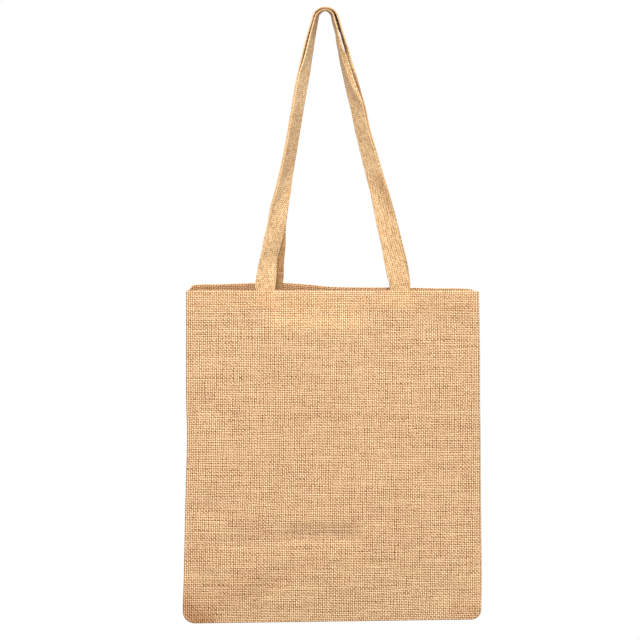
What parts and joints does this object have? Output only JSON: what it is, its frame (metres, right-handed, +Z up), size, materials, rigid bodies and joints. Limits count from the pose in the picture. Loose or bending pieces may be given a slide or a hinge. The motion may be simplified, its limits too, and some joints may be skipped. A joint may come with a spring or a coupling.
{
  "type": "tote bag",
  "caption": "Flat open-topped tote bag of coarse jute cloth, hanging by a pair of long webbing handles that meet in one arch.",
  "frame": {"origin": "the point under the arch of the handles that the bag hangs from", "axes": "+Z up along the hanging handles, +X to the right along the mouth seen from the front, the front panel facing -Y"},
  "size_m": [0.363, 0.0363, 0.749],
  "materials": {
    "jute_hessian_front": "coarse plain-woven natural jute, unfinished",
    "jute_hessian_back": "coarse plain-woven natural jute, unfinished",
    "jute_webbing_front": "plain-woven natural jute webbing",
    "jute_webbing_back": "plain-woven natural jute webbing"
  },
  "bodies": {
    "root": {"front_panel": "jute_hessian_front", "back_panel": "jute_hessian_back", "front_handle": "jute_webbing_front", "back_handle": "jute_webbing_back"}
  },
  "joints": []
}
